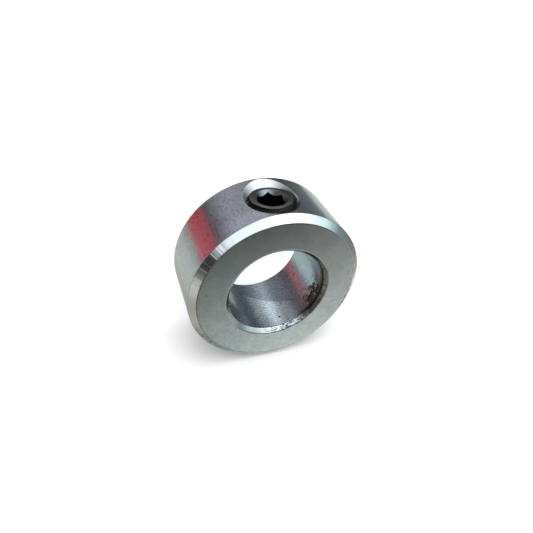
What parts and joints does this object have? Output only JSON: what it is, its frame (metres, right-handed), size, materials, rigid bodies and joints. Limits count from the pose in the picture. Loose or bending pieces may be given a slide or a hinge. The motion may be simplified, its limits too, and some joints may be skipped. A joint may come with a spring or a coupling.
{
  "type": "shaft collar",
  "caption": "Solid steel shaft collar that locks on a round shaft with a hex-socket set screw screwed in through its rim.",
  "frame": {"origin": "centre of the bore, at the middle of the collar's width", "axes": "+Y along the bore axis, from the front end face to the back one; +Z out through the set screw; +X completes the right-handed frame"},
  "size_m": [0.0286, 0.0126, 0.0286],
  "materials": {
    "zinc_plated_steel": "bright zinc plating over turned steel, mottled, with fine turning marks",
    "black_oxide_steel": "black oxide, oiled, satin"
  },
  "bodies": {
    "collar": {"collar_ring": "zinc_plated_steel"},
    "screw_travel": {"set_screw_point": "black_oxide_steel"},
    "screw_turning": {"set_screw": "black_oxide_steel"}
  },
  "joints": [
    {"name": "screw_advance", "type": "slide", "parent": "collar", "child": "screw_travel", "axis": [0, 0, 1], "range_m": [-0.00141, 0.00388]},
    {"name": "screw_turn", "type": "hinge", "parent": "screw_travel", "child": "screw_turning", "pos_m": [0, 0, 0.0107], "axis": [0, 0, 1], "range_deg": [-361, 991]}
  ],
  "couplings": [
    {"joint": "screw_turn", "follows": "screw_advance", "rad_per_m": 4452.7}
  ]
}
